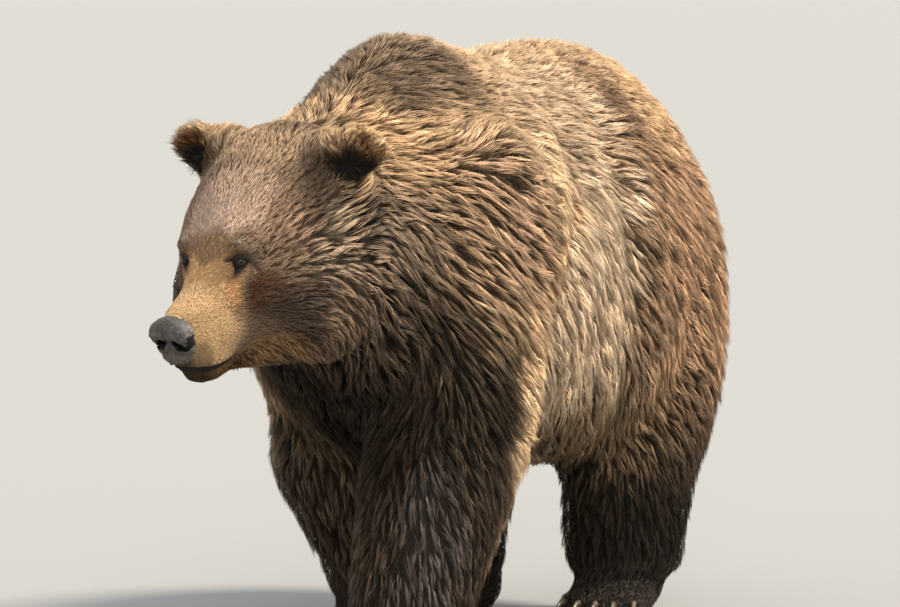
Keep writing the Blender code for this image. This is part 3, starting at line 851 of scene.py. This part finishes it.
def make_skin(pad):
    """The one skin that stands for all the flesh, inside it by the coat's depth."""
    mesh = skin_shape()
    fields = skin_fields(mesh, pad)
    points = inside_coat(mesh, fields, edges_of(mesh))
    move_to(mesh, points)
    folds = face_folds(in_head_axes(points)) + body_folds(points)
    head = lids(in_head_axes(points + normals_of(mesh) * folds[:, None]))
    head[:, 1] += PRESSED_BACK * np.maximum(-head[:, 1] - MUZZLE_END, 0)
    narrower = 0.2 + 0.16 * step(-0.085, -0.105, head[:, 2])
    head[:, 0] *= 1 - narrower * step(0.292, 0.322, -head[:, 1])
    points = out_of_head_axes(head)
    move_to(mesh, points)
    normals = normals_of(mesh)
    fields |= {"points": points, "normals": normals, "head": in_head_axes(points)}
    fields["lie"] = flattened(fields["lie"], normals)
    paint_skin(mesh, fields)
    placed("skin", mesh, "coat", skin_material(), *FLESH)
    return mesh, fields


def paint_skin(mesh, fields):
    """The skin shows the colour of the coat's roots, and its bare places are dark."""
    head, pad, up = fields["head"], fields["pad"], fields["points"][:, 2]
    colour = fields["root"] * 0.65 + fields["tip"] * 0.1
    short = step(0.012, 0.006, fields["length"])
    laid_over(colour, fields["root"] * 0.6 + fields["tip"] * 0.35, short)
    eyes = step(1.45, 1.1, from_lids(head))
    nose = step(0.0042, 0, pad) * step(-0.052, -0.07, head[:, 2])
    laid_over(colour, LIP_COLOUR, np.clip(lip_band(head) + eyes + nose, 0, 1))
    laid_over(colour, SOLE_COLOUR, step(0.02, 0.008, up) * step(-0.2, -0.6, fields["normals"][:, 2]))
    coloured(mesh, colour)


# ---- the coat

LEADING = 0.085  # the share of the locks that others follow
LEADERS_TRIED = 7
# Least and most of what differs from lock to lock, as shares of what their place asks for.
WIDTHS = (0.6, 1.35)
REACHES = (0.8, 1.15)
LIFTS = (0.75, 1.3)
PULLS = (0.55, 0.95)  # how far a tip is drawn to its leader's
KNEE_HEIGHTS = (0.62, 0.8)
# How much tufts, and the locks in them, differ in heading; and tufts in brightness and paleness.
TUFT_BEND = 0.17
LOCK_BEND = 0.09
TUFT_TONE = 0.2
# Painted shade between tufts: a tuft's edge is darker and nearer the root's colour.
TUFT_EDGE_SHADE = 0.74  # how much darker the edge of a tuft is, and how much nearer the root's colour
TUFT_EDGE_SHADE_ROOTWARD = 0.3
KNEE_ALONG = 0.33
LOCK_THICKNESS = 0.24  # of its width
ROOT_DEPTH = 0.0012
LOWEST_LOCK = 0.0004
# The flat patch that each lock is baked on: across and along for root, the knee's three points and tip.
PATCH = 0.003
PATCH_SHAPE = np.array([(0, -0.5), (-0.5, 0), (0.5, 0), (0, 0.1), (0, 0.5)]) * PATCH
LOCK_FACES = np.array([(0, 2, 1), (0, 3, 2), (0, 1, 3), (4, 1, 2), (4, 2, 3), (4, 3, 1)])


def coat_pieces(fields):
    """The name of each piece of the coat and which points of the skin it grows from."""
    kinds = KINDS[fields["parts"]]
    points, head = fields["points"], fields["head"]
    front, top, left = -head[:, 1] > 0.17, head[:, 2] > 0.035, points[:, 0] > 0
    trunk, skull = kinds == "trunk", np.isin(kinds, ("head", "lower_jaw"))
    upper, ahead = points[:, 2] > 0.8, points[:, 1] < 0.08
    return {
        "coat_muzzle": skull & front,
        "coat_forehead": (kinds == "head") & ~front & top,
        "coat_cheeks": skull & ~front & ~top,
        "coat_ears": kinds == "ear",
        "coat_neck": kinds == "neck",
        "coat_hump": trunk & upper & ahead,
        "coat_back": trunk & upper & ~ahead,
        "coat_flank_left": trunk & ~upper & left,
        "coat_flank_right": trunk & ~upper & ~left,
        "coat_shoulders": kinds == "upper_arm",
        "coat_haunches": np.isin(kinds, ("thigh", "tail")),
        "coat_forelegs": kinds == "forearm",
        "coat_hocks": kinds == "shank",
        "coat_paws": np.isin(kinds, ("front_paw", "hind_paw")),
    }


def unwrapped(mesh, chosen):
    """The chosen part of the skin, laid flat to fill a square: its corners' points and flat places."""
    bm = bmesh.new()
    bm.from_mesh(mesh)
    number = bm.verts.layers.int.new("number")
    for vert in bm.verts:
        vert[number] = vert.index
    flags = chosen.tolist()
    away = [face for face in bm.faces if sum(flags[v.index] for v in face.verts) * 2 < len(face.verts)]
    bmesh.ops.delete(bm, geom=away, context="FACES")
    bmesh.ops.triangulate(bm, faces=bm.faces)
    bm.verts.ensure_lookup_table()
    numbers = np.array([vert[number] for vert in bm.verts])
    part = as_mesh(bm)
    obj = linked("flat", part)
    bpy.context.view_layer.objects.active = obj
    obj.select_set(True)
    bpy.ops.object.mode_set(mode="EDIT")
    bpy.ops.mesh.select_all(action="SELECT")
    bpy.ops.uv.smart_project(angle_limit=math.radians(66), island_margin=0.004)
    bpy.ops.object.mode_set(mode="OBJECT")
    flat = values_of(part.uv_layers.active.data, "uv", 2)
    corners = values_of(part.loops, "vertex_index", 1, np.int64)
    bpy.data.objects.remove(obj)
    bpy.data.meshes.remove(part)
    return numbers[corners].reshape(-1, 3), flat.reshape(-1, 3, 2)


def sown(triangles, points, density, rng):
    """Places spread over the triangles: which triangle, and the shares of its corners."""
    a, b, c = (points[triangles[:, i]] for i in range(3))
    area = np.linalg.norm(np.cross(b - a, c - a), axis=1) / 2
    wanted = np.cumsum(area * density[triangles].mean(1))
    count = int(wanted[-1])
    where = (np.arange(count) + rng.uniform(0, 1, count)) * wanted[-1] / max(count, 1)
    chosen = np.minimum(np.searchsorted(wanted, where), len(triangles) - 1)
    first, second = np.sqrt(rng.uniform(size=count)), rng.uniform(size=count)
    return chosen, np.column_stack([1 - first, first * (1 - second), first * second])


def mixed(values, shares):
    """The value at each place, from the values at its triangle's corners."""
    return (values * shares.reshape(*shares.shape, *[1] * (values.ndim - 2))).sum(1)


def turned_about(vectors, axes, angles):
    """Each vector turned about its own axis, which stands square to it."""
    cos, sin = np.cos(angles)[:, None], np.sin(angles)[:, None]
    return vectors * cos + np.cross(axes, vectors) * sin


def over_skin(tree, places, heights):
    """The places moved to those heights over the skin below them."""
    made = np.empty_like(places)
    for i, (place, height) in enumerate(zip(places.tolist(), heights.tolist())):
        ground, normal, _, _ = tree.find_nearest(place)
        made[i] = ground + normal * height
    return made


def nearest_leader(leaders, roots, lie):
    """The leader that each lock follows, the nearest, counted mostly across the lie; how far across."""
    tree = KDTree(len(leaders))
    for i, place in enumerate(leaders.tolist()):
        tree.insert(place, i)
    tree.balance()
    near = np.array([[found[1] for found in tree.find_n(place, LEADERS_TRIED)] for place in roots.tolist()])
    away = leaders[near] - roots[:, None]
    along = (away * lie[:, None]).sum(2)
    across = np.linalg.norm(away - along[:, :, None] * lie[:, None], axis=2)
    best = np.argmin((across * 1.7) ** 2 + (along * 0.6) ** 2, axis=1)
    rows = np.arange(len(roots))
    return near[rows, best], across[rows, best]


def tufted(lock, rng):
    """Each lock's tip, drawn into a tuft, its rise, its leader and how far out in the tuft it is."""
    root, normal, length, clumped = (lock[key] for key in ("points", "normals", "length", "clumped"))
    count = len(root)
    # About one lock in twelve leads. The rest lean towards its tip, and lie lower at their tuft's edge.
    leads = np.nonzero(rng.uniform(size=count) < LEADING)[0]
    leader, across = nearest_leader(root[leads], root, lock["lie"])
    leader = leads[leader]
    outer = step(0.1, 0.42, across * np.sqrt(LEADING * lock["thick"])) * clumped
    bend = rng.normal(0, TUFT_BEND, count)
    heading = turned_about(lock["lie"], normal, bend[leader] + rng.normal(0, LOCK_BEND, count))
    heading = flattened(heading, normal)
    reach = length * rng.uniform(*REACHES, count)
    lift = rng.uniform(*LIFTS, count)
    tip = root + heading * reach[:, None]
    pull = (rng.uniform(*PULLS, count) * clumped)[:, None]
    tip = tip + (tip[leader] - tip) * pull
    short = np.linalg.norm(tip - root, axis=1) < 0.45 * length
    tip = np.where(short[:, None], root + heading * (0.6 * length)[:, None], tip)
    rise = lock["depth"] * (0.65 * lift[leader] + 0.35 * lift) * (1 - 0.5 * outer)
    return tip, rise, leader, outer


def coat_piece(triangles, flat, fields, tree, rng):
    """One mesh of locks, each with its root in the skin, a knee over it and a tip."""
    chosen, shares = sown(triangles, fields["points"], fields["thick"], rng)
    count, corners = len(chosen), triangles[chosen]
    keys = ("points", "normals", "lie", "clumped", "thick", "loose", *FIELDS)
    lock = {key: mixed(fields[key][corners], shares) for key in keys}
    root, loose = lock["points"], lock["loose"]
    lock["normals"] = normal = unit(lock["normals"])
    lock["lie"] = flattened(lock["lie"], normal)
    width = lock["width"] * rng.uniform(*WIDTHS, count)
    tip, rise, leader, outer = tufted(lock, rng)
    knee = root + (tip - root) * KNEE_ALONG + normal * (0.7 * rise)[:, None]
    knee = over_skin(tree, knee, rise * rng.uniform(*KNEE_HEIGHTS, count))
    free = tip + normal * rise[:, None]
    loose = np.clip(loose * rng.exponential(1.0, count) + 0.8 * step(0.7, 1, loose), 0, 1)[:, None]
    tip = over_skin(tree, tip, rise)
    tip = tip + (free - tip) * loose

    half = unit(np.cross(normal, tip - root)) * (width / 2)[:, None]
    up = normal * (width * LOCK_THICKNESS)[:, None]
    low = root - normal * ROOT_DEPTH
    verts = np.stack([low, knee - half - up * 0.4, knee + half - up * 0.4, knee + up, tip], axis=1)
    verts[:, :, 2] = np.maximum(verts[:, :, 2], LOWEST_LOCK)
    tone = colours_of(lock, leader, outer, rng)
    place = np.clip(mixed(flat[chosen], shares), PATCH, 1 - PATCH)
    patches = place[:, None] + PATCH_SHAPE[LOCK_FACES.ravel()]
    return lock_mesh(verts.reshape(-1, 3), tone, patches, count)


def colours_of(lock, leader, outer, rng):
    """Colours of each lock's five points, dark at the root, light at the tip, and darker at a tuft's edge as
    painted shade between tufts.
    """
    root, tip, count = lock["root"], lock["tip"], len(leader)
    long = step(0.008, 0.034, lock["length"])
    tuft_bright, tuft_pale = rng.normal(0, TUFT_TONE, count), rng.normal(0, TUFT_TONE, count)
    own = 0.07 + 0.08 * long
    bright = rng.normal(0, 1, count) * own + (tuft_bright[leader] + 0.15) * long
    # Painted shade at the edge of each tuft.
    bright = np.exp(bright - TUFT_EDGE_SHADE * outer)
    pale = tuft_pale[leader] * long + rng.normal(0, 1, count) * own
    pale = np.clip(pale - TUFT_EDGE_SHADE_ROOTWARD * outer, -0.6, 0.4)
    tip_colour = (tip + (root - tip) * np.maximum(-pale, 0)[:, None]) * bright[:, None]
    knee_share = np.clip(0.52 + pale, 0.15, 0.85)[:, None]
    knee_colour = root * (1 - knee_share) * bright[:, None] + tip_colour * knee_share
    return np.stack([root, knee_colour, knee_colour, knee_colour, tip_colour], axis=1).reshape(-1, 3)


def lock_mesh(verts, tone, patches, count):
    """The locks as one mesh, with their colours and their patches for baking."""
    faces = (LOCK_FACES[None] + (np.arange(count) * 5)[:, None, None]).reshape(-1, 3)
    mesh = bpy.data.meshes.new("locks")
    mesh.vertices.add(len(verts))
    mesh.loops.add(faces.size)
    mesh.loops.foreach_set("vertex_index", faces.astype(np.int32).ravel())
    mesh.polygons.add(len(faces))
    mesh.polygons.foreach_set("loop_start", np.arange(0, faces.size, 3, dtype=np.int32))
    layer = mesh.uv_layers.new(name="OFBake")
    layer.data.foreach_set("uv", patches.astype(np.float32).ravel())
    move_to(mesh, verts)
    coloured(mesh, tone)
    mesh.validate()
    return mesh


def make_coat(mesh, fields):
    """Sows locks over the whole skin, a piece of the body at a time."""
    tree = surface_of(mesh, fields["points"])
    material = coat_material()
    for number, (name, chosen) in enumerate(coat_pieces(fields).items()):
        triangles, flat = unwrapped(mesh, chosen)
        made = coat_piece(triangles, flat, fields, tree, np.random.default_rng(100 + number))
        placed(name, made, "coat", material)


# ---- finishes

# Places on the claws' ramp, and the colour at each.
HORN_COLOURS = ((0.32, (0.03, 0.02, 0.014, 1)), (0.75, (0.19, 0.135, 0.085, 1)))


def finish(name, roughness, specular, **sockets):
    """A new material and its shader, with those values set on the shader's own sockets."""
    material = bpy.data.materials.new(name)
    material.use_nodes = True
    shader = material.node_tree.nodes["Principled BSDF"]
    sockets |= {"Roughness": roughness, "Specular_IOR_Level": specular}
    for key, value in sockets.items():
        shader.inputs[key.replace("_", " ")].default_value = value
    return material, shader


def node(material, kind, **inputs):
    made = material.node_tree.nodes.new(kind)
    for key, value in inputs.items():
        made.inputs[key.replace("_", " ")].default_value = value
    return made


def link(source, target):
    source.id_data.links.new(source, target)


def pattern(material, kind, **inputs):
    """A pattern over the piece's own coordinates."""
    made = node(material, kind, **inputs)
    link(node(material, "ShaderNodeTexCoord").outputs["Object"], made.inputs["Vector"])
    return made


def noise_of(material, scale, detail):
    return pattern(material, "ShaderNodeTexNoise", Scale=scale, Detail=detail).outputs["Fac"]


def varied(material, shader, fac, darkest, lightest):
    """The piece's own colours, made darker and lighter where the noise says."""
    tone = node(material, "ShaderNodeAttribute")
    tone.attribute_name = "tone"
    times = node(material, "ShaderNodeVectorMath")
    times.operation = "SCALE"
    span = {"From_Min": 0.3, "From_Max": 0.7, "To_Min": darkest, "To_Max": lightest}
    strength = node(material, "ShaderNodeMapRange", **span)
    link(fac, strength.inputs["Value"])
    link(tone.outputs["Color"], times.inputs[0])
    link(strength.outputs["Result"], times.inputs["Scale"])
    link(times.outputs["Vector"], shader.inputs["Base Color"])


def bumped(material, shader, fac, height):
    bump = node(material, "ShaderNodeBump", Strength=1.0, Distance=height)
    link(fac, bump.inputs["Height"])
    link(bump.outputs["Normal"], shader.inputs["Normal"])


def skin_material():
    material, shader = finish("short_undercoat", 0.75, 0.12)
    fac = noise_of(material, 420, 3)
    varied(material, shader, fac, 0.55, 1.45)
    bumped(material, shader, fac, 0.0012)
    return material


def coat_material():
    sheen = {"Sheen_Weight": 0.08, "Sheen_Roughness": 0.5, "Sheen_Tint": (1, 0.85, 0.65, 1)}
    material, shader = finish("shaggy_coat", 0.62, 0.05, **sheen)
    varied(material, shader, noise_of(material, 160, 3), 0.8, 1.2)
    return material


def horn_material():
    material, shader = finish("worn_horn", 0.36, 0.5, Coat_Weight=0.15, Coat_Roughness=0.3)
    ramp = node(material, "ShaderNodeValToRGB")
    for stop, (place, colour) in zip(ramp.color_ramp.elements, HORN_COLOURS):
        stop.position = place
        stop.color = colour
    link(noise_of(material, 90, 6), ramp.inputs["Fac"])
    link(ramp.outputs["Color"], shader.inputs["Base Color"])
    bumped(material, shader, noise_of(material, 700, 4), 0.0003)
    return material


def nose_material():
    material, shader = finish("pebbled_nose", 0.54, 0.35)
    varied(material, shader, noise_of(material, 110, 5), 0.62, 1.45)
    cells = pattern(material, "ShaderNodeTexVoronoi", Scale=620)
    bumped(material, shader, cells.outputs["Distance"], -0.0003)
    return material


def eye_material():
    material, shader = finish("wet_eye", 0.5, 0.05, Coat_Weight=0.8, Coat_Roughness=0.09)
    varied(material, shader, noise_of(material, 900, 5), 0.7, 1.4)
    return material


# ---- eyes, nose and claws

IRIS = (0.018, 0.008, 0.004)
EYE_WHITE = (0.008, 0.006, 0.005)
PUPIL = (0.002, 0.002, 0.002)
CORNEA_BULGE = 0.085
CORNEA_EDGE = (46, 8)  # degrees off the way the eye looks
WHITE_EDGE = (40, 47)
PUPIL_EDGE = (21, 17)
NOSE_VOXEL = 0.001
NOSTRIL_VOXEL = 0.0009
# Across, forward and level of the middle of each ball that the pad is made of; its radii; degrees it nods.
NOSE_BALLS = [
    ((0, 0.33, -0.0575), (0.031, 0.0225, 0.0165), -12),  # bridge
    ((0.014, 0.337, -0.063), (0.021, 0.0205, 0.018), 0),  # front
    ((0.023, 0.33, -0.07), (0.0155, 0.02, 0.02), 0),  # wing
    ((0.013, 0.327, -0.088), (0.0245, 0.0185, 0.0225), 0),  # between the nostrils and the lip
    ((0.008, 0.326, -0.106), (0.02, 0.018, 0.0175), 0),  # over the lip
]
# Across and level of each part of a nostril, how far it reaches and how deep it goes.
NOSTRILS = [
    ((0.0125, -0.0785), (0.008, 0.009), 0.018),  # opening
    ((0.018, -0.0865), (0.0088, 0.0088), 0.018),  # its lower half
    ((0.0265, -0.092), (0.0078, 0.005), 0.011),  # slit
    ((0.034, -0.0865), (0.0042, 0.0075), 0.007),  # its upturned end
    ((0.0368, -0.078), (0.0034, 0.007), 0.005),  # and its tip
]
# Swellings and grooves of the pad.
NOSE_FORMS = [
    ((0.018, 0.354, -0.066), (0.022, 0.02, 0.009), 0.0024),  # rim over the nostril
    ((0, 0.35, -0.096), (0.0034, 0.022, 0.034), -0.0018),  # groove down to the lip
    ((0, 0.354, -0.062), (0.003, 0.014, 0.014), -0.0016),  # its upper end
    ((0.0385, 0.334, -0.068), (0.006, 0.014, 0.012), -0.0026),  # hollow of the pad's side
]
NOSE_COLOUR = (0.062, 0.056, 0.05)
NOSE_LOW = (0.084, 0.071, 0.056)
NOSE_SHADED = (0.014, 0.012, 0.01)
NOSE_SIDE = (0.11, 0.098, 0.084)
# Painted shade: black inside the nostrils' hollows.
NOSTRIL_SHADE = (0.004, 0.003, 0.003)
CLAW_GROWTH = 0.0002


def make_eyes():
    """Dark brown eyes with a black pupil under a bulging cornea."""
    material = eye_material()
    for name, side in (("eye_left", 1), ("eye_right", -1)):
        centre = np.array((side * EYE_SIDE, -EYE_FORWARD, 0))
        out = eye_axes(side)[2]
        turn = Vector((0, 0, 1)).rotation_difference(Vector(out)).to_matrix().to_4x4()
        bm = bmesh.new()
        ball(bm, HEAD @ Matrix.Translation(centre) @ turn, (EYE_RADIUS,) * 3, 48)
        mesh = baked(bm)
        head = in_head_axes(points_of(mesh)) - centre
        off_axis = np.degrees(np.arccos(np.clip(unit(head) @ out, -1, 1)))
        bulge = 1 + CORNEA_BULGE * step(*CORNEA_EDGE, off_axis)
        move_to(mesh, out_of_head_axes(head * bulge[:, None] + centre))
        colour = np.tile(IRIS, (len(head), 1))
        laid_over(colour, EYE_WHITE, step(*WHITE_EDGE, off_axis))
        laid_over(colour, PUPIL, step(*PUPIL_EDGE, off_axis))
        coloured(mesh, colour)
        placed(name + "_ball", mesh, "eye", material, name)


def nose_balls():
    """One closed shape of the balls and their mirror images."""
    bm = bmesh.new()
    for (across, forward, level), radii, nod in NOSE_BALLS:
        for side in (-1, 1) if across else (1,):
            place = HEAD @ Matrix.Translation((side * across, -forward, level))
            ball(bm, place @ Matrix.Rotation(math.radians(nod), 4, "X"), radii)
    return baked(bm, voxels(NOSE_VOXEL))


def nostril_depth(head, back=0.322):
    """How deep the nostrils go at points of the pad's front, from that far forward."""
    deep = np.zeros(len(head))
    for (across, level), radii, depth in NOSTRILS:
        far = np.hypot((np.abs(head[:, 0]) - across) / radii[0], (head[:, 2] - level) / radii[1])
        deep = np.maximum(deep, depth * step(1.05, 0.6, far))
    return deep * step(back, back + 0.014, -head[:, 1])


def nose_colours(head):
    """Dark, darker still round the nostrils as painted shade and black inside them as painted shade, paler
    low down and at the sides.
    """
    across, level = np.abs(head[:, 0]), head[:, 2]
    colour = np.tile(NOSE_COLOUR, (len(head), 1))
    laid_over(colour, NOSE_LOW, step(-0.076, -0.092, level))
    laid_over(colour, NOSE_SHADED, 0.55 * bell(across, 0.016, 0.014) * bell(level, -0.093, 0.012))
    laid_over(colour, NOSE_SIDE, step(0.031, 0.037, across) * step(-0.118, -0.1, level))
    laid_over(colour, NOSTRIL_SHADE, step(0.0008, 0.0035, nostril_depth(head, 0.3)))
    return colour


def make_nose():
    """The bare pad: two wings round open nostrils and a groove down to the lip. Gives its surface."""
    mesh = nose_balls()
    points = spread(points_of(mesh), edges_of(mesh), 3)
    inwards = np.outer(nostril_depth(in_head_axes(points)), (0, 1, 0))
    move_to(mesh, points + turned_with_head(inwards))
    mesh = baked(as_bmesh(mesh), voxels(NOSTRIL_VOXEL))
    points = spread(points_of(mesh), edges_of(mesh), 7)
    move_to(mesh, points)
    head = in_head_axes(points)
    out = swelling(head, NOSE_FORMS)
    out += 0.0003 * drift(points, 0.009, 21) + 0.0002 * drift(points, 0.003, 22)
    points = points + normals_of(mesh) * out[:, None]
    move_to(mesh, points)
    coloured(mesh, nose_colours(head))
    placed("nose_pad", mesh, "nose_skin", nose_material(), "nose")
    return surface_of(mesh, points)


def make_claws():
    """Each paw's five claws, rounder than their solids, as one piece."""
    material = horn_material()
    for paw in ("front_left", "front_right", "hind_left", "hind_right"):
        names = [f"claw_{paw}_{i}" for i in range(1, 6)]
        bm = solids_together(names, CLAW_GROWTH)
        mesh = baked(bm, ("SUBSURF", {"levels": 2, "render_levels": 2}))
        smooth_shaded(mesh)
        placed(f"claws_{paw}", mesh, "claw", material, *names)


# ---- floor, lights and camera

CAMERA_AZIMUTH = math.radians(24)
CAMERA_ELEVATION = math.radians(4.5)
CAMERA_DISTANCE = 11.0
CAMERA_LENS = 260
CAMERA_TARGET = (0, -0.1804, 0.598)
CAMERA_ASIDE = 0.098  # how far right of that the middle of the view is
FLOOR_COLOUR = (0.3, 0.3, 0.295, 1)
SKY_COLOUR = (0.98, 0.99, 1.0, 1)
SKY_STRENGTH = 1.1
# Name, where it shines from, softness, strength and colour.
LAMPS = [
    ("key", (0.58, 0.34, 0.74), 0.2, 5.2, (1.0, 0.92, 0.78)),
    ("front", (0.4, -0.8, 0.44), 0.26, 0.6, (1.0, 0.97, 0.93)),
]


def aimed(obj, place, target):
    obj.location = place
    obj.rotation_euler = (Vector(target) - Vector(place)).to_track_quat("-Z", "Y").to_euler()


def make_floor():
    bm = bmesh.new()
    bmesh.ops.create_grid(bm, x_segments=1, y_segments=1, size=40.0)
    mesh = baked(bm)
    material, shader = finish("pale_floor", 0.85, 0.2)
    shader.inputs["Base Color"].default_value = FLOOR_COLOUR
    mesh.materials.append(material)
    floor = linked("floor", mesh)


def make_lights():
    """Soft light all round, a warm one high behind the bear's left and a weak one before it."""
    world = bpy.data.worlds.new("studio")
    bpy.context.scene.world = world
    world.use_nodes = True
    background = world.node_tree.nodes["Background"]
    background.inputs["Color"].default_value = SKY_COLOUR
    background.inputs["Strength"].default_value = SKY_STRENGTH
    for name, place, softness, strength, colour in LAMPS:
        light = bpy.data.lights.new(name, "SUN")
        light.angle = softness
        light.energy = strength
        light.color = colour
        aimed(linked(name, light), Vector(place) * 5, (0, 0, 0))


def make_camera():
    camera = bpy.data.cameras.new("camera")
    camera.lens = CAMERA_LENS
    camera.sensor_width = 36
    camera.clip_end = 200
    cos, sin = math.cos(CAMERA_AZIMUTH), math.sin(CAMERA_AZIMUTH)
    level = math.cos(CAMERA_ELEVATION)
    target = Vector(CAMERA_TARGET) + Vector((cos, sin, 0)) * CAMERA_ASIDE
    back = Vector((sin * level, -cos * level, math.sin(CAMERA_ELEVATION)))
    obj = linked("camera", camera)
    aimed(obj, target + back * CAMERA_DISTANCE, target)
    bpy.context.scene.camera = obj


bpy.context.scene.view_settings.view_transform = "Standard"
make_floor()
make_lights()
make_camera()
skin, skin_map = make_skin(make_nose())
make_eyes()
make_claws()
make_coat(skin, skin_map)
